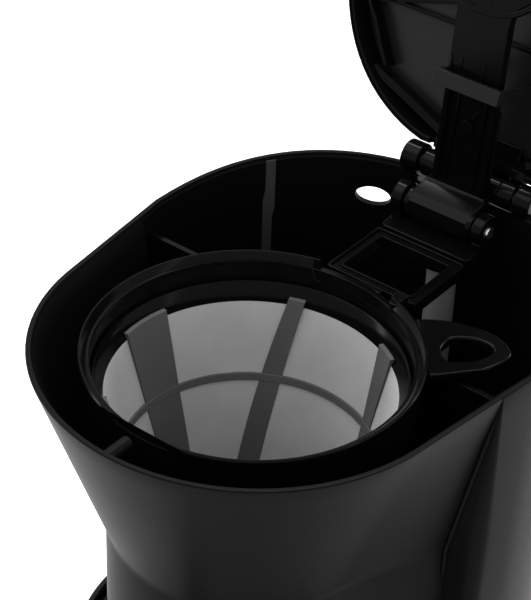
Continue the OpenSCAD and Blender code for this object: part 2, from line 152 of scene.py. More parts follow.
def woven(name, colour, threads, row, see_through=0.3):
    """Translucent woven cloth: fine threads run down the cone and round it."""
    mat = plastic(name, colour, 0.6, speck=0.1)
    tree = mat.node_tree
    bsdf = tree.nodes["Principled BSDF"]
    coord = next(n for n in tree.nodes if n.type == "TEX_COORD")
    centred = tree.nodes.new("ShaderNodeMapping")
    centred.inputs["Location"].default_value = (0, -brew_y, 0)
    tree.links.new(coord.outputs["Object"], centred.inputs["Vector"])
    round_cone = tree.nodes.new("ShaderNodeTexGradient")
    round_cone.gradient_type = "RADIAL"
    tree.links.new(centred.outputs["Vector"], round_cone.inputs["Vector"])
    height = tree.nodes.new("ShaderNodeSeparateXYZ")
    tree.links.new(centred.outputs["Vector"], height.inputs["Vector"])
    waves = []
    for source, rate in ((round_cone.outputs["Fac"], 2 * math.pi * threads),
                         (height.outputs["Z"], 2 * math.pi / (row * MM))):
        angle = tree.nodes.new("ShaderNodeMath")
        angle.operation = "MULTIPLY"
        angle.inputs[1].default_value = rate
        tree.links.new(source, angle.inputs[0])
        sine = tree.nodes.new("ShaderNodeMath")
        sine.operation = "SINE"
        tree.links.new(angle.outputs[0], sine.inputs[0])
        waves.append(sine.outputs[0])
    both = tree.nodes.new("ShaderNodeMath")
    both.operation = "MULTIPLY"
    tree.links.new(waves[0], both.inputs[0])
    tree.links.new(waves[1], both.inputs[1])
    bump = tree.nodes.new("ShaderNodeBump")
    bump.inputs["Strength"].default_value = 0.7
    bump.inputs["Distance"].default_value = 0.00012
    tree.links.new(both.outputs[0], bump.inputs["Height"])
    tree.links.new(bump.outputs["Normal"], bsdf.inputs["Normal"])
    through = tree.nodes.new("ShaderNodeBsdfTranslucent")
    through.inputs["Color"].default_value = [*colour, 1]
    blend = tree.nodes.new("ShaderNodeMixShader")
    blend.inputs["Fac"].default_value = see_through
    tree.links.new(bsdf.outputs[0], blend.inputs[1])
    tree.links.new(through.outputs[0], blend.inputs[2])
    tree.links.new(blend.outputs[0], tree.nodes["Material Output"].inputs["Surface"])
    return mat


def clear_glass(name):
    mat = plastic(name, (0.93, 0.96, 0.97), 0.02, waves=0.00002)
    bsdf = mat.node_tree.nodes["Principled BSDF"]
    bsdf.inputs["Transmission Weight"].default_value = 1
    bsdf.inputs["IOR"].default_value = 1.47
    return mat


SHELL = plastic("shell_black", (0.0024, 0.0024, 0.0025), 0.4, 0.000012, 0.0005, 0.00006, 0.035)
INNER = plastic("inner_gloss", (0.0013, 0.0013, 0.0014), 0.13, 0.0, 0.0004, 0.00009, 0.06)
ARM = plastic("arm_gloss", (0.0016, 0.0016, 0.0017), 0.17, 0.0, 0.0004, 0.00009, 0.05)
LID = plastic("lid_gloss", (0.0055, 0.0055, 0.0057), 0.28, 0.000003, 0.0006, 0.00004, 0.16)
RIBS = plastic("filter_plastic", (0.075, 0.075, 0.076), 0.36, 0.000008, 0.0005, 0.0, 0.045)
NYLON = woven("filter_nylon", (0.46, 0.46, 0.465), 420, 0.7, 0.2)
STEEL = metal("steel", (0.6, 0.6, 0.61), 0.28, (1, 12, 12))
ALLOY = metal("cast_alloy", (0.5, 0.5, 0.52), 0.55)
STEM = plastic("valve_plastic", (0.03, 0.03, 0.031), 0.4, 0.00001)
RUBBER = plastic("black_rubber", (0.015, 0.015, 0.015), 0.75, 0.00003, 0.0006)
SILICONE = plastic("silicone", (0.6, 0.6, 0.57), 0.5, 0.00002, 0.0008)
RISER = plastic("riser_plastic", (0.2, 0.2, 0.2), 0.45, 0.00001, 0.0006)
COVER = plastic("cover_plastic", (0.007, 0.007, 0.0073), 0.6, 0.00002, 0.0007, 0.0, 0.15)
PLATE = plastic("plate_coating", (0.006, 0.006, 0.0063), 0.33, 0.00003, 0.0009, 0.00004, 0.2)
SLEEVE = woven("fuse_sleeve", (0.7, 0.69, 0.65), 600, 0.6, 0)
ROCKER = plastic("switch_red", (0.28, 0.01, 0.01), 0.22, 0.0, 0.0004, 0.00002)
GLASS = clear_glass("jug_glass")
JUG = plastic("jug_plastic", (0.003, 0.003, 0.0031), 0.3, 0.00001, 0.0006, 0.00004, 0.1)
# Painted reflection: the grey of a thin strip on the inner rear wall that stands for a reflection
PAINTED_REFLECTION = plastic("painted_reflection_grey", (0.035, 0.035, 0.036), 0.3, 0.0, 0.0004, 0.00005, 0.2)
BAR = plastic("bar_grey", (0.0065, 0.0065, 0.0067), 0.3, 0.000004, 0.0006, 0.00003, 0.12)

FINISH = {"shell": SHELL, "inner": INNER, "lid_inner": LID, "filter_plastic": RIBS, "filter_nylon": NYLON,
          "steel": STEEL, "valve_plastic": STEM, "black_rubber": RUBBER, "silicone": SILICONE,
          "riser_plastic": RISER, "cover_plastic": COVER, "plate_coating": PLATE, "cast_aluminium": ALLOY,
          "sleeve": SLEEVE, "switch_plastic": ROCKER, "jug_glass": GLASS, "jug_plastic": JUG}


# Mesh helpers. Points are in millimetres and a shape is a pair (points, faces).
def loft(rings, cap_start=False, cap_end=False):
    """A skin over closed rings that have the same number of points each."""
    points = [p for ring in rings for p in ring]
    n = len(rings[0])
    faces = []
    for i in range(len(rings) - 1):
        for j in range(n):
            a, b = i * n + j, i * n + (j + 1) % n
            faces.append((a, b, b + n, a + n))
    if cap_start:
        faces.append(tuple(range(n))[::-1])
    if cap_end:
        faces.append(tuple(range((len(rings) - 1) * n, len(rings) * n)))
    return points, faces


def revolve(profile, steps, centre=(0, 0)):
    """A closed profile of (radius, z) turned all the way round a vertical axis."""
    rings = []
    for i in range(steps):
        a = math.radians(360 * i / steps)
        rings.append([(centre[0] + r * math.cos(a), centre[1] + r * math.sin(a), z) for r, z in profile])
    rings.append(rings[0])
    return loft(rings)


def prism(outline, low, high):
    """An outline of (x, y) raised from low to high."""
    return loft([[(x, y, low) for x, y in outline], [(x, y, high) for x, y in outline]], True, True)


def block(x0, x1, y0, y1, z0, z1):
    return prism([(x0, y0), (x1, y0), (x1, y1), (x0, y1)], z0, z1)


def rod(a, b, radius, steps=32, bore=0.0):
    """A round bar between two points, hollow when it has a bore."""
    a, b = Vector(a), Vector(b)
    along = (b - a).normalized()
    side = along.orthogonal().normalized()
    other = along.cross(side)
    turns = [(math.cos(2 * math.pi * i / steps), math.sin(2 * math.pi * i / steps)) for i in range(steps)]

    def circle(p, r):
        return [tuple(p + side * (r * c) + other * (r * s)) for c, s in turns]
    if bore:
        return loft([circle(a, bore), circle(a, radius), circle(b, radius), circle(b, bore),
                     circle(a, bore)])
    return loft([circle(a, radius), circle(b, radius)], True, True)


def join(*shapes):
    points, faces = [], []
    for some_points, some_faces in shapes:
        offset = len(points)
        points += some_points
        faces += [tuple(i + offset for i in f) for f in some_faces]
    return points, faces


def turned(shape, pivot, degrees):
    """A shape turned about a line along x through pivot = (y, z)."""
    c, s = math.cos(math.radians(degrees)), math.sin(math.radians(degrees))
    out = []
    for x, y, z in shape[0]:
        dy, dz = y - pivot[0], z - pivot[1]
        out.append((x, pivot[0] + dy * c - dz * s, pivot[1] + dy * s + dz * c))
    return out, shape[1]


def raw_object(name, shape):
    mesh = bpy.data.meshes.new(name)
    mesh.from_pydata([at(*p) for p in shape[0]], [], shape[1])
    bm = bmesh.new()
    bm.from_mesh(mesh)
    bmesh.ops.remove_doubles(bm, verts=bm.verts, dist=MERGE)
    bmesh.ops.dissolve_degenerate(bm, edges=bm.edges, dist=0.000005)
    bmesh.ops.recalc_face_normals(bm, faces=bm.faces)
    bm.to_mesh(mesh)
    bm.free()
    obj = bpy.data.objects.new(name, mesh)
    bpy.context.scene.collection.objects.link(obj)
    return obj


def cut(obj, *cutters):
    """Takes closed shapes out of an object for good."""
    for number, shape in enumerate(cutters):
        cutter = raw_object("%s_cutter_%d" % (obj.name, number), shape)
        boolean = obj.modifiers.new("cut", "BOOLEAN")
        boolean.operation, boolean.solver, boolean.object = "DIFFERENCE", "EXACT", cutter
        bpy.context.view_layer.update()
        result = bpy.data.meshes.new_from_object(obj.evaluated_get(bpy.context.evaluated_depsgraph_get()))
        obj.modifiers.clear()
        obj.data = result
        bpy.data.objects.remove(cutter)


def piece(name, body, slot, shape, replaces=(), cutters=(), bevel=0.5, material=None, sharp=32):
    """A finished piece of the visual model: it rides on a body and may stand for CAD nodes."""
    obj = raw_object(name, shape)
    if cutters:
        cut(obj, *cutters)
    obj.data.materials.clear()
    obj.data.materials.append(material or FINISH[slot])
    obj.data.set_sharp_from_angle(angle=math.radians(sharp))
    for face in obj.data.polygons:
        face.use_smooth = True
    if bevel:
        add_bevel(obj, bevel)
    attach(obj, body)
    if replaces:
        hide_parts(*replaces)
    return obj


def add_bevel(obj, width, segments=3):
    round_edges = obj.modifiers.new("round_edges", "BEVEL")
    round_edges.width = width * MM
    round_edges.segments = segments
    round_edges.limit_method = "ANGLE"
    round_edges.angle_limit = math.radians(40)
    round_edges.use_clamp_overlap = True
    round_edges.harden_normals = True


# Housing: head, cone, neck and column
def mix(a, b, k):
    return a + (b - a) * k


def arc(radius, start, stop, steps, centre=(0, 0)):
    turns = [math.radians(mix(start, stop, i / steps)) for i in range(steps + 1)]
    return [(centre[0] + radius * math.cos(a), centre[1] + radius * math.sin(a)) for a in turns]


def bezier(p, f):
    g = 1 - f
    w = (g ** 3, 3 * g * g * f, 3 * g * f * f, f ** 3)
    return tuple(sum(w[i] * p[i][axis] for i in range(4)) for axis in range(2))


def rear_curve(inset, steps=REAR_STEPS):
    """Superellipse round the back of the column, from the right flank to the left."""
    points = []
    for i in range(steps + 1):
        a = math.pi * i / steps
        c, s = math.cos(a), math.sin(a)
        points.append((math.copysign(abs(c) ** (1 / 1.2), c) * (HALF_W - inset),
                       BACK_Y + (BACK_B - inset) * abs(s) ** (1 / 1.2)))
    return points


def joint_x(k):
    return mix(CORNER_X, NECK_JOINT_X, k)


def cone_side(k, inset, steps=CONE_STEPS):
    """Left flank of the cone, from the pillar forward to the start of the front arc."""
    top = ((CORNER_X, SIDE_Y), (73.6, 15.2), (72.0, 2.3), (70.4, -10.65))
    low = ((NECK_JOINT_X, SIDE_Y), (56.7, 17), (48.5, 1.1), (45.8, -10.57))
    hull = [(mix(t[0], b[0], k) - inset, mix(t[1], b[1], k)) for t, b in zip(top, low)]
    return [(-x, y) for x, y in (bezier(hull, i / steps) for i in range(1, steps))]


def section(z, inset):
    """Closed outline of the housing at a height, drawn inset from its outer face."""
    k = min(1, max(0, (RIM - z) / (RIM - NECK_Z)))
    taper = TAPER * (RIM - z) / (RIM - FOOT)
    rear = rear_curve(taper + inset)
    corner = CORNER_X - taper - inset
    joint = joint_x(k) - inset
    radius = max(0.05, min(5, 0.45 * (corner - joint)))
    face_y = SIDE_Y + inset
    bead = max(0, min(1, (-3 - z) / 12)) if z > -84 and not inset else 0
    half = arc(radius, 180, 270, CORNER_STEPS, (-corner + radius, face_y + radius))
    inner_end = -max(joint, 0)
    start = half[-1][0]
    half += [(mix(start, inner_end - 1.1 * bead, f), face_y) for f in (0.33, 0.66, 1)]
    half += [(inner_end - 1.0 * bead, face_y - 1.0 * bead), (inner_end - 0.1 * bead, face_y - 1.3 * bead),
             (inner_end + 0.6 * bead, face_y - 1.0 * bead)]
    half += cone_side(k, inset)
    meet = mix(8.6, 13, k)
    front = arc(mix(FRONT_R, NECK_R, k) - inset, 180 + meet, 360 - meet, FRONT_STEPS)
    right_half = [(-x, y) for x, y in half][::-1]
    return [(x, y, z) for x, y in rear + half + front + right_half]


def make_housing():
    # (height, inset) up the outer face, over the rim's lip and down the inside
    outer = [(HEAD_FOOT, 0), (-95, 0), (-84.4, 0), (-84, 0), (-76, 0), (-70, 0), (-68, 0), (-66, 0)]
    outer += [(z, 0) for z in range(-60, 0, 6)]
    lip = [(1.2, 0), (1.8, 0.12), (2.2, 0.45), (RIM, 0.9), (RIM, 1.5), (2.1, 1.95), (1.5, 2.05), (1.0, 2.1)]
    inner = [(0.4, WALL)] + [(z, WALL) for z in range(-6, -66, -6)]
    inner += [(NECK_Z, WALL), (-84, WALL), (HEAD_FOOT, WALL)]
    head = loft([section(z, d) for z, d in outer + lip + inner])
    rear_count = REAR_STEPS + 1
    flank_count = rear_count + CORNER_STEPS + 1 + FACE_POINTS
    cone_start = flank_count + BEAD_POINTS
    cone_stop = cone_start + 2 * (CONE_STEPS - 1) + FRONT_STEPS + 1
    strip = []
    for z in (HEAD_FOOT, -110, -130, -160, -190, -220, -231, -232.4, FOOT):
        inset = 0 if z > -232 else (0.2 if z > FOOT else 0.7)
        ring = section(z, 0)
        left = ring[:flank_count]
        right = [(-x, y, z) for x, y, _ in left[rear_count:]][::-1]
        bay = [(x, y, z) for x, y in arc(BAY_R, *BAY_ARC, 48, (0, BAY_Y))]
        strip.append([(x * (1 - inset / HALF_W), y, z) for x, y, _ in right + left] + bay[::-1])
    column = loft(strip, cap_end=True)

    def neck_ring(z, inset):
        rear = arc(57 - inset, 10, 170, 30, (0, 8))
        front = arc(NECK_R - inset, 193, 347, 40)
        return [(x, y, z) for x, y in rear + [(inset - 50, -6)] + front + [(50 - inset, -6)]]
    hole = [(17 * math.cos(math.atan2(y, x)), 17 * math.sin(math.atan2(y, x)), NECK_FOOT)
            for x, y, _ in neck_ring(0, 0)]
    # The oval neck closes in to a round hole in its floor
    rings = [neck_ring(-103.5, 0), neck_ring(-104.5, 0.1), neck_ring(-106, 0.6), neck_ring(-115.6, 7.2),
             neck_ring(-117.4, 8.6), neck_ring(NECK_FOOT, 9.6), hole]
    rings.append([(x, y, NECK_FOOT + 3) for x, y, _ in hole])
    neck = loft(rings)
    ceiling_outline = [(x, y) for x, y, _ in section(HEAD_FOOT, 0.3)[cone_start:cone_stop]]
    ceiling_outline += arc(BAY_R, *BAY_ARC, 40, (0, BAY_Y))
    ceiling = prism(ceiling_outline, HEAD_FOOT, HEAD_FOOT + 2)
    # Overflow slot through the rear wall, then the hinge notch and groove in the rim
    slot_turn = math.radians(27)
    hole_rings = []
    for depth in (-12, 22):
        middle = Vector((-35.2 - depth * math.sin(slot_turn), 115 + depth * math.cos(slot_turn), -14))
        along = Vector((math.cos(slot_turn), math.sin(slot_turn), 0))
        hole_rings.append([tuple(middle + along * (6.6 * math.cos(a)) + Vector((0, 0, 3.8 * math.sin(a))))
                           for a in (2 * math.pi * i / 40 for i in range(40))])
    hole_cutter = loft(hole_rings, True, True)
    notches = [block(-22.3, -12.5, 116, 128, -4.8, 8),
               rod((-12.6, HINGE_Y, HINGE_Z), (22.3, HINGE_Y, HINGE_Z), 5.3, 40)]
    piece("housing_head", "machine", "shell", head, ("housing",), [hole_cutter] + notches, bevel=0)
    piece("housing_column", "machine", "shell", column, bevel=0)
    piece("housing_neck", "machine", "shell", join(neck, ceiling), bevel=0)
    ears = []
    for s in (-1, 1):
        ears.append(rod((s * 20, HINGE_Y, HINGE_Z), (s * 27, HINGE_Y, HINGE_Z), 6, 40, 2.6))
        ears.append(block(s * 23.5 - 3.4, s * 23.5 + 3.4, 119.6, 128.5, -10.5, -1.5))
    piece("hinge_ears", "machine", "shell", join(*ears), bevel=0.7, material=ARM)
    peg = rod((0, -69, -1), (0, -58.6, -1), 2.2, 28)
    piece("rim_peg", "machine", "shell", peg, bevel=0.8)


make_housing()


# Small shape helpers for the parts inside the head
def smooth(points, steps=4, closed=False):
    """Catmull-Rom curve through a list of 2-D points."""
    n = len(points)
    out = []
    for i in range(n if closed else n - 1):
        if closed:
            p = [points[(i + k) % n] for k in (-1, 0, 1, 2)]
        else:
            p = [points[min(n - 1, max(0, i + k))] for k in (-1, 0, 1, 2)]
        for j in range(steps):
            f = j / steps
            out.append(tuple(0.5 * (2 * p[1][a] + (p[2][a] - p[0][a]) * f
                                    + (2 * p[0][a] - 5 * p[1][a] + 4 * p[2][a] - p[3][a]) * f * f
                                    + (3 * p[1][a] - p[0][a] - 3 * p[2][a] + p[3][a]) * f ** 3)
                             for a in range(2)))
    return out if closed else out + [tuple(points[-1])]


def rounded(x0, x1, y0, y1, radius, steps=6):
    """A rectangle with rounded corners."""
    corners = ((x1 - radius, y1 - radius, 0), (x0 + radius, y1 - radius, 90),
               (x0 + radius, y0 + radius, 180), (x1 - radius, y0 + radius, 270))
    return [p for x, y, a in corners for p in arc(radius, a, a + 90, steps, (x, y))]


def frame_shape(outer, inner, low, high):
    """A flat frame between two outlines with the same number of points."""
    return loft([[(x, y, z) for x, y in outline] for outline, z in
                 ((outer, low), (outer, high), (inner, high), (inner, low), (outer, low))])


def side_prism(outline, x0, x1):
    """An outline of (y, z) drawn across from x0 to x1."""
    return loft([[(x0, y, z) for y, z in outline], [(x1, y, z) for y, z in outline]], True, True)


def hook(x0, x1, inner, outer, start, stop, pivot, steps=20):
    """Part of a ring about a line along x through pivot = (y, z)."""
    rings = []
    for i in range(steps + 1):
        a = math.radians(mix(start, stop, i / steps))
        rings.append([(x, pivot[0] + r * math.cos(a), pivot[1] + r * math.sin(a))
                      for x, r in ((x0, inner), (x1, inner), (x1, outer), (x0, outer))])
    return loft(rings, True, True)


# Basket: bead ring, funnel, spout and looped handle
FRONT_CHORD = -52.8


def make_basket():
    bead = [(51.4, -22), (51.4, -2.3), (54.2, -2.3), (55, -1.8), (55, -0.5), (54.6, 0), (54.1, 0),
            (53.7, -0.4), (52.6, -1.5), (51.4, -4.2), (51.1, -11.5), (49.3, -11.5)]
    funnel = [(49.3, -22), (40.2, -70), (36, -98), (6.4, -102.2)]
    spout = [(6.4, -110.4), (2.8, -110.4), (2.8, -112), (9, -112), (9, -104)]
    profile = bead + funnel + spout + [(36, -100), (38, -96), (42.3, -70)]
    points, faces = revolve(profile, 180)
    shaped = []
    for x, y, z in points:
        # The ring steps down behind, and its front is flat
        if y > 45 and -13 < x < 18.5:
            z = min(z, -5 + 0.8 * z)
        shaped.append((x, max(y, FRONT_CHORD), z))
    piece("basket_body", "holder", "inner", (shaped, faces), ("basket",), bevel=0.15, material=ARM)
    outline = smooth([(28.3, 49.1), (32.2, 52.4), (37.8, 55.7), (44.2, 57.8), (50.8, 59), (56.5, 57.8),
                      (61.2, 54.9), (62.8, 51.8), (62.4, 47.2), (60.6, 41.5), (57.7, 37.6), (53, 31.8),
                      (48.6, 26.9)])
    slot_hole = smooth([(43.4, 42), (43.2, 47.6), (46.4, 50.8), (50.6, 52.8), (55.2, 52.7), (57.2, 50.2),
                        (56, 44.6), (53, 40.6), (49.6, 37.6), (46.8, 38)], 4, True)
    loop = prism(outline, -5.6, -2.2)
    piece("basket_handle", "holder", "inner", loop, (), [prism(slot_hole, -7, 0)], bevel=0.9)
    lip = join(rod((49.6, 28, -2.4), (57.4, 37.6, -2.4), 0.55, 16),
               rod((57.4, 37.6, -2.4), (60.2, 41.4, -2.6), 0.55, 16))
    clip = join(prism(rounded(17.6, 21, 48.4, 51.2, 1.2), -5, -0.4),
                prism(rounded(14.8, 19.2, 53.6, 59, 1.4), -9, -2.6),
                rod((18.6, 51.2, -0.9), (25.4, 48.4, -1.3), 0.8, 16))
    piece("basket_trim", "holder", "inner", join(lip, clip), bevel=0.4)


# Permanent filter: rim, leaning ribs, ring rib, bottom disc and woven cone
# Each rib's two edges in degrees at the top, then at the bottom
RIB_PLACES = ((166, 189, 160, 178), (106, 113, 122, 135), (54, 65, 60, 63), (286, 295, 286, 295),
              (346, 355, 346, 355), (230, 248, 230, 248))


def rib_radius(z):
    return mix(45.9, 41.1, (-13 - z) / 31) if z > -44 else mix(41.1, 34.3, (-44 - z) / 35)


def make_filter():
    rim = revolve([(47.0, -15.9), (48.3, -15.9), (49.1, -11.4), (50.7, -11.3), (50.7, -9.7), (50.4, -9.3),
                   (49.9, -9.3), (49.5, -9.6), (47.4, -14.6)], 180)
    ring_rib = revolve([(41.6, -42.4), (43.5, -42.4), (43.1, -45.2), (41.2, -45.2)], 144)
    bottom = revolve([(0, -80), (36.6, -80), (36.6, -77.4), (33, -77.4), (32.4, -78.4), (14, -78.4),
                      (13.4, -77.8), (0, -77.8)], 120)
    ribs = []
    for a0, a1, b0, b1 in RIB_PLACES:
        rings = []
        for z in [-13 - 4.4 * i for i in range(16)]:
            k = (-13 - z) / 66
            inner = rib_radius(z)
            lo_a, hi_a = mix(a0, b0, k), mix(a1, b1, k)
            near = arc(inner + 0.5, lo_a, hi_a, 6)
            far = arc(inner + 2.1, hi_a, lo_a, 6)
            rings.append([(x, y, z) for x, y in near + far])
        ribs.append(loft(rings, True, True))
    piece("filter_body", "filter", "filter_plastic", join(ring_rib, bottom, *ribs), ("filter_frame",),
          bevel=0.2)
    piece("filter_rim", "filter", "filter_plastic", rim, bevel=0.15, material=ARM)
    cone = revolve([(47.0, -15.8), (47.3, -15.8), (42.4, -43.9), (35.6, -77.2), (35.3, -77.2),
                    (42.1, -43.9)], 180)
    piece("filter_weave", "filter", "filter_nylon", cone, ("filter_mesh",), bevel=0)


# Lid: ridged shell, panel, ribs, hinge knuckles and cross bar, drawn closed and swung open
def lid_outline(inset, steps=64):
    points = rear_curve(inset) + arc(FRONT_R - inset, 188.6, 351.4, steps)
    return [(x, min(y, 121.2 - inset)) for x, y in points]


def lid_piece(name, slot, shape, replaces=(), cutters=(), **finish):
    opened = [turned(c, (HINGE_Y, HINGE_Z), -LID_OPEN) for c in cutters]
    return piece(name, "lid", slot, turned(shape, (HINGE_Y, HINGE_Z), -LID_OPEN), replaces, opened, **finish)


def wall_along(path, low, high, thickness):
    """A thin upright wall along a path of (x, y)."""
    left, right = [], []
    for i, (x, y) in enumerate(path):
        x0, y0 = path[max(0, i - 1)]
        x1, y1 = path[min(len(path) - 1, i + 1)]
        length = math.hypot(x1 - x0, y1 - y0)
        nx, ny = -(y1 - y0) / length * thickness / 2, (x1 - x0) / length * thickness / 2
        left.append((x + nx, y + ny))
        right.append((x - nx, y - ny))
    return prism(left + right[::-1], low, high)


def make_lid():
    # (height, inset) from the inner face, round the ridged edge and over the top
    outside = [(16.6, 28), (16, 24), (14.2, 17), (12.8, 9.5), (12, 7.2), (4, 6.6), (2.9, 6.5), (2.6, 6.1),
               (2.6, 5.7), (3.4, 5.5), (3.4, 5.2), (2.6, 5), (2.6, 4.5), (3, 4.25), (3.6, 4.2), (8, 4.2),
               (10.5, 4.9), (13, 6.6), (15.2, 10), (17, 17.2), (18.4, 24), (19.2, 30.2)]
    shell = loft([[(x, y, z) for x, y in lid_outline(inset)] for z, inset in outside], True, True)
    lid_piece("lid_body", "shell", shell, ("lid_shell",), [block(-20, 20, 104, 125, -4, 6)], bevel=0)
    panel_edge = [(x, min(y, 110.5)) for x, y in lid_outline(8.2)]
    centre = [(x, min(y, 108)) for x, y in lid_outline(13)]
    levels = ((12.4, panel_edge), (11.3, panel_edge), (11, centre))
    panel = loft([[(x, y, z) for x, y in edge] for z, edge in levels], True, True)
    lid_piece("lid_panel", "lid_inner", panel, ("lid_liner",), bevel=0)
    walls = []
    rear = [(-60.1, 76.9), (-58.2, 79.4), (-55.4, 82.9), (-51.8, 89.2), (-46.6, 97.2)]
    front = [p for p in lid_outline(17) if p[1] < 76]
    walls.append(wall_along(rear, 5, 11.4, 1.3))
    walls.append(wall_along([(-x, y) for x, y in rear], 5, 11.4, 1.3))
    walls.append(wall_along([(-60.1, 76.9)] + front + [(60.1, 76.9)], 8.2, 11.4, 1.3))
    for s in (-1, 1):
        walls.append(wall_along([(s * 51.3, 99.2), (s * 34, 105.6), (s * 17.7, 112)], 5, 11.4, 3))
    lid_piece("lid_ribs", "lid_inner", join(*walls), bevel=0.25, material=ARM)
    knuckles = []
    for s in (-1, 1):
        knuckles.append(rod((s * 16 - 3, HINGE_Y, HINGE_Z), (s * 16 + 3, HINGE_Y, HINGE_Z), 5, 40, 2.6))
        knuckles.append(block(s * 16 - 3, s * 16 + 3, 115, 123.4, HINGE_Z + 2.7, HINGE_Z + 5))
        knuckles.append(block(s * 16 - 3, s * 16 + 3, 114.6, 118, HINGE_Z + 1, HINGE_Z + 13))
    knuckles.append(block(-12.9, 12.9, 108, 121, 9.6, 13.2))
    knuckles.append(rod((-12.9, HINGE_Y, HINGE_Z), (12.9, HINGE_Y, HINGE_Z), 4.8, 40))
    lid_piece("lid_knuckles", "lid_inner", join(*knuckles), bevel=0.5, material=ARM)
    bar = block(-13.1, 13.1, 84.8, 90.2, -20.6, -17.6)
    groove = block(-11.2, 11.2, 86.2, 88.8, -18, -17)
    legs = []
    for s in (-1, 1):
        legs.append(block(s * 12.3 - 0.8, s * 12.3 + 0.8, 84.8, 90.2, -18, 11))
        legs.append(block(s * 14 - 2, s * 14 + 2, 83.6, 91.4, 8.8, 10.9))
    lid_piece("lid_crossbar", "lid_inner", bar, ("lid_bridge",), [groove], bevel=0.5, material=BAR)
    lid_piece("lid_crossbar_legs", "lid_inner", join(*legs), bevel=0.4)


# Spray arm, drawn upright as (x, n behind the pin, s along the arm) and leaned back
def arm_shape(shape):
    placed = [(x, ARM_Y + n, ARM_Z + s) for x, n, s in shape[0]], shape[1]
    return turned(placed, (ARM_Y, ARM_Z), -ARM_LEAN)


def across(outline, n0, n1):
    """An outline of (x, s) with its thickness along n."""
    return loft([[(x, n0, s) for x, s in outline], [(x, n1, s) for x, s in outline]], True, True)


def make_arm():
    barrel = rod((-14, 0, 0), (14, 0, 0), 5.4, 44, 2.3)
    heel = side_prism([(5.6, 8), (4.2, 6.9), (-2.2, 5.4), (-5.1, 2.5), (-5.6, -1.6), (-4.2, -4.2), (4, -4.4),
                       (9, -2.6), (9, 8)], -12.6, 12.6)
    piece("arm_heel", "arm", "inner", arm_shape(join(barrel, heel)), bevel=0.8, material=ARM)
    right = [(10.2, 5), (10.2, 72), (10.9, 76), (13, 80), (16.2, 83), (17, 86)]
    edge = right + [(-x, s) for x, s in right[::-1]]
    plate = across(edge, 5.6, 9.6)
    trough = across([(-8.4, 9), (8.4, 9), (8.4, 45), (7.4, 46), (-7.4, 46), (-8.4, 45)], 4, 6.9)
    holes = [rod((x, 4, s), (x, 8.6, s), 1.5, 24) for x, s in ((-4.3, 77.2), (3.6, 79))]
    piece("arm_channel", "arm", "inner", arm_shape(plate), ("spray_arm",),
          [arm_shape(c) for c in [trough] + holes], bevel=0.45, material=ARM)
    details = [rod((0.4, 5.5, 31.5), (0.4, 7.2, 31.5), 2.6, 32),
               across([(-11.1, 8), (11.1, 8), (11.1, 40), (-11.1, 40)], 8, 9.5),
               across([(-5.9, 9.4), (-5.3, 9.4), (-4.2, 45.6), (-4.8, 45.6)], 6.1, 7.2),
               across([(5.6, 9.4), (6.2, 9.4), (6.7, 45.6), (6.1, 45.6)], 6.1, 7.2),
               across([(1.2, 34.5), (2.2, 36.8), (3.6, 38.6), (4.4, 38.4), (3.2, 36), (2.4, 33.2)],
                      6.5, 7.2)]
    details += [rod((x, 5.5, 48.6), (x, 5.5, 55.8), 0.42, 12) for x in (-9.3, -5.2, 3.7)]
    details.append(block(-8.2, 8.2, 5.3, 6.2, 3, 6.7))
    piece("arm_details", "arm", "inner", arm_shape(join(*details)), bevel=0.2, material=ARM)
    head = rod((0, 5.5, ARM_LEN), (0, 9.6, ARM_LEN), 25, 96)
    recess = rod((0, 3, ARM_LEN), (0, 6.8, ARM_LEN), 22.7, 96)
    chamber = rod((0, 6, ARM_LEN), (0, 8.4, ARM_LEN), 20, 96)
    piece("arm_head", "arm", "inner", arm_shape(head), (), [arm_shape(recess), arm_shape(chamber)],
          bevel=0.6, material=ARM)
    eighths = [math.radians(45 * i) for i in range(8)]
    hole_places = [(14 * math.cos(a), ARM_LEN + 14 * math.sin(a)) for a in eighths]
    sprays = [rod((x, 4, s), (x, 8, s), 1.3, 24) for x, s in hole_places]
    sprays.append(rod((0, 4, ARM_LEN), (0, 8, ARM_LEN), 1.8, 28))
    cover = rod((0, 5.7, ARM_LEN), (0, 6.7, ARM_LEN), 22.45, 96)
    piece("arm_cover", "arm", "lid_inner", arm_shape(cover), ("spray_plate",),
          [arm_shape(c) for c in sprays], bevel=0.2, material=ARM)


def make_seat():
    deck = prism(rounded(-18.3, 18.3, 95.2, 119.2, 2.2), -14, -8.7)
    rim = frame_shape(rounded(-18.1, 18.1, 95.4, 119, 2), rounded(-16.9, 16.9, 96.6, 117.8, 1.4), -9, -8)
    boss = rod((0, 110, -24), (0, 110, -13.6), 8.5, 48, 5.6)
    water_hole = rod((0, 110, -16), (0, 110, -7), 3.6, 32)
    piece("seat_deck", "machine", "inner", join(deck, rim), ("arm_seat",), [water_hole],
          bevel=0.45, material=ARM)
    piece("seat_boss", "machine", "inner", boss, bevel=0.5)
    ears = []
    for s in (-1, 1):
        low, high = sorted((s * 14.6, s * 18.8))
        if s < 0:
            ears.append(rod((low, ARM_Y, ARM_Z), (high, ARM_Y, ARM_Z), 6.1, 44, 2.3))
        else:
            ears.append(hook(low, high, 3.2, 6.1, -70, 190, (ARM_Y, ARM_Z)))
            ears.append(rod((low + 0.5, ARM_Y, ARM_Z), (high - 0.9, ARM_Y, ARM_Z), 3.3, 32, 2.3))
        ears.append(block(low + 0.2, high - 0.2, ARM_Y - 4.6, ARM_Y + 4.6, -8.9, ARM_Z - 3.4))
    piece("seat_ears", "machine", "inner", join(*ears), bevel=0.7, material=ARM)


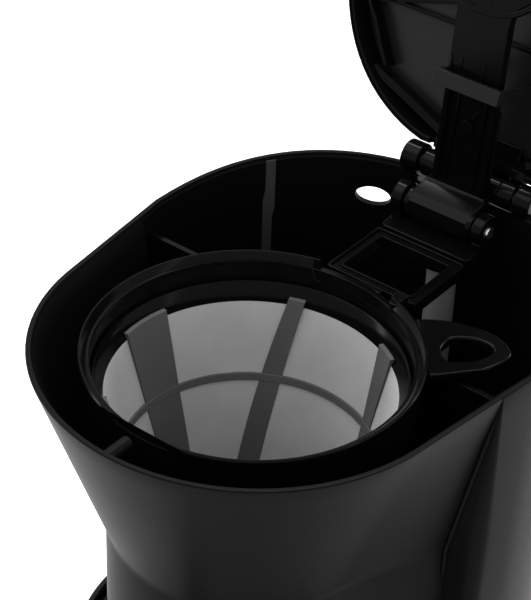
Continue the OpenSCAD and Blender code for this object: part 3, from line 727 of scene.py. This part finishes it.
def make_bridge():
    outer, inner = rounded(-18.3, 18.3, 63.6, 94.9, 1.5), rounded(-14, 14, 67.9, 90.6, 1)
    frame_low = frame_shape(outer, inner, -14.7, -10.5)
    outer_lip = frame_shape(outer, rounded(-17.3, 17.3, 64.6, 93.9, 1), -10.8, -9.7)
    inner_lip = frame_shape(rounded(-15, 15, 66.9, 91.6, 1.4), inner, -10.8, -9.9)
    tab = join(block(-4, 5.5, 61.6, 65.2, -12.6, -9.75), block(-3, 4.5, 60.8, 62.2, -13, -10.6))
    legs = [block(s * 16.2 - 1.5, s * 16.2 + 1.5, 63.8, 65, NECK_Z + 5.1, -14.5) for s in (-1, 1)]
    # A thin grey strip that follows the inside of the rear wall: a painted reflection on the glossy wall
    strip = []
    for z in range(1, -62, -4):
        edges = [(x, y) for x, y in rear_curve(TAPER * (RIM - z) / (RIM - FOOT) + WALL + 0.05, 240)
                 if -65 < x < -62.6 and y > BACK_Y]
        (xa, ya), (xb, yb) = edges[0], edges[-1]
        length = math.hypot(xb - xa, yb - ya)
        nx, ny = (yb - ya) / length * 0.5, -(xb - xa) / length * 0.5
        if nx < 0:
            nx, ny = -nx, -ny
        strip.append([(xa, ya, z), (xa + nx, ya + ny, z), (xb + nx, yb + ny, z), (xb, yb, z)])
    # This strip is a painted reflection on the glossy inner wall, not a real part
    piece("painted_reflection_strip", "machine", "inner", loft(strip, True, True), bevel=0, material=PAINTED_REFLECTION)
    piece("bridge_frame", "machine", "inner", join(frame_low, outer_lip, inner_lip), ("bridge",), bevel=0.3,
          material=ARM)
    piece("bridge_tab", "machine", "inner", tab, bevel=0.5, material=ARM)
    piece("bridge_legs", "machine", "inner", join(*legs), bevel=0.3)


# Jug: glass, band, handle and lid. Profiles are (radius, height above the table)
def jug_turn(profile, steps=160):
    return revolve([(r, z - TABLE) for r, z in profile], steps, centre=(0, JUG_Y))


def make_jug():
    side = [(50, 33.4), (54.5, 34.3), (57.8, 37.7), (59.5, 43.4), (60, 51.4), (60, 67.4), (58.8, 81.4),
            (56.6, 93.4), (53.8, 102.4), (51.8, 107.6), (51.5, 112)]
    outer = smooth(side, 4)
    inner = [(r - 2, max(z, 35.5)) for r, z in outer]
    mouth = [(51.5, 126.2), (51, 126.7), (50, 126.7), (49.5, 126.2)]
    glass = [(0, 34), (20, 33.9), (46, 33.5)] + outer + mouth + inner[::-1] + [(20, 35.9), (0, 36)]
    piece("jug_body", "jug", "jug_glass", jug_turn(glass), ("jug_glass",), bevel=0)
    band = [(51.8, 110.5), (52.3, 110), (53.7, 110), (54.3, 110.7), (54.3, 112.2), (53.9, 112.8),
            (53.9, 116.2), (54.3, 116.8), (54.3, 118.3), (53.7, 119), (52.3, 119), (51.8, 118.5)]
    lug = block(-3, 3, JUG_Y - 67.9, JUG_Y - 53.4, 110.5 - TABLE, 118.5 - TABLE)
    piece("jug_collar", "jug", "jug_plastic", jug_turn(band), ("jug_band",), bevel=0.15)
    piece("jug_lug", "jug", "jug_plastic", lug, bevel=0.6)
    curve = smooth([(-66, 122.8), (-74, 123), (-82, 121.8), (-92, 117.4), (-97.8, 109), (-99.2, 96),
                    (-97.8, 78), (-93.8, 62), (-89.6, 54), (-84.6, 51.4), (-80.6, 54.2), (-81.6, 61),
                    (-86, 74), (-88.2, 88), (-86.8, 98.6), (-82, 105.4), (-74, 108.8), (-66, 109)])
    outline = [(-54.9, 119.8)] + curve + [(-54.9, 109.2)]
    grip = side_prism([(y + JUG_Y, z - TABLE) for y, z in outline], -8, 8)
    piece("jug_grip", "jug", "jug_plastic", grip, ("jug_handle",),
          [block(-3.3, 3.3, JUG_Y - 68.4, JUG_Y - 48, 110 - TABLE, 119 - TABLE)], bevel=2.6)
    lid = [(8, 127.3), (8.3, 127), (46, 127), (46, 117.6), (46.6, 117), (48, 117), (48.6, 117.6),
           (48.6, 127), (60.4, 127), (61.2, 127.5), (61.4, 128.2), (61.4, 132), (61.1, 132.7), (60.4, 133),
           (59.2, 132.8), (58.5, 132), (58.2, 130), (57.6, 129.4), (20, 129.4), (14, 129.5), (13, 129.9),
           (12.4, 130.7), (11.8, 131), (8.4, 131), (8, 130.7)]
    piece("jug_cap", "jug_cover", "jug_plastic", jug_turn(lid), ("jug_lid",), bevel=0.1)


make_basket()
make_filter()
make_lid()
make_arm()
make_seat()
make_bridge()
make_jug()


# Lights and stage
def area_light(name, place, target, size, power):
    data = bpy.data.lights.new(name, "AREA")
    data.shape = "RECTANGLE"
    data.size, data.size_y = size
    data.energy = power
    lamp = bpy.data.objects.new(name, data)
    lamp.location = place
    lamp.rotation_euler = (Vector(target) - Vector(place)).to_track_quat("-Z", "Y").to_euler()
    bpy.context.scene.collection.objects.link(lamp)


world = bpy.data.worlds.new("studio")
world.use_nodes = True
world.node_tree.nodes["Background"].inputs[0].default_value = (1, 1, 1, 1)
world.node_tree.nodes["Background"].inputs[1].default_value = 1.2
bpy.context.scene.world = world
bpy.context.scene.view_settings.view_transform = "Standard"
area_light("key", (-0.5, -0.3, 1.4), (0, 0, 0.2), (0.8, 0.8), 6)
area_light("strip_back", (-0.25, 0.5, 1.25), (0, 0, 0.25), (0.9, 0.14), 9)
area_light("strip_right", (1.0, 0.15, 0.85), (0, 0, 0.25), (0.14, 0.9), 0.8)
area_light("fill_back", (0.5, 1.3, 0.7), (0, 0, 0.2), (0.6, 0.6), 9)
area_light("strip_left", (-0.95, -0.5, 0.65), (0, 0, 0.25), (0.14, 0.9), 4)

floor_mesh = bpy.data.meshes.new("floor")
floor_mesh.from_pydata([(-6, -6, 0), (6, -6, 0), (6, 6, 0), (-6, 6, 0)], [], [(0, 1, 2, 3)])
floor = bpy.data.objects.new("floor", floor_mesh)
bpy.context.scene.collection.objects.link(floor)
pale = bpy.data.materials.new("pale_floor")
pale.use_nodes = True
pale.node_tree.nodes["Principled BSDF"].inputs["Base Color"].default_value = (0.9, 0.9, 0.9, 1)
floor_mesh.materials.append(pale)


# CAD nodes that stay: rounded edges and their slot's material
def dress(name):
    obj = nodes[name]
    slot = next(s["material_slot"] for s in frame["record"]["subparts"] if s["node"] == name)
    obj.data.materials.clear()
    obj.data.materials.append(FINISH[slot])
    weld = obj.modifiers.new("weld", "WELD")
    weld.merge_threshold = MERGE
    add_bevel(obj, 0.25, 2)


for node_name in nodes:
    dress(node_name)
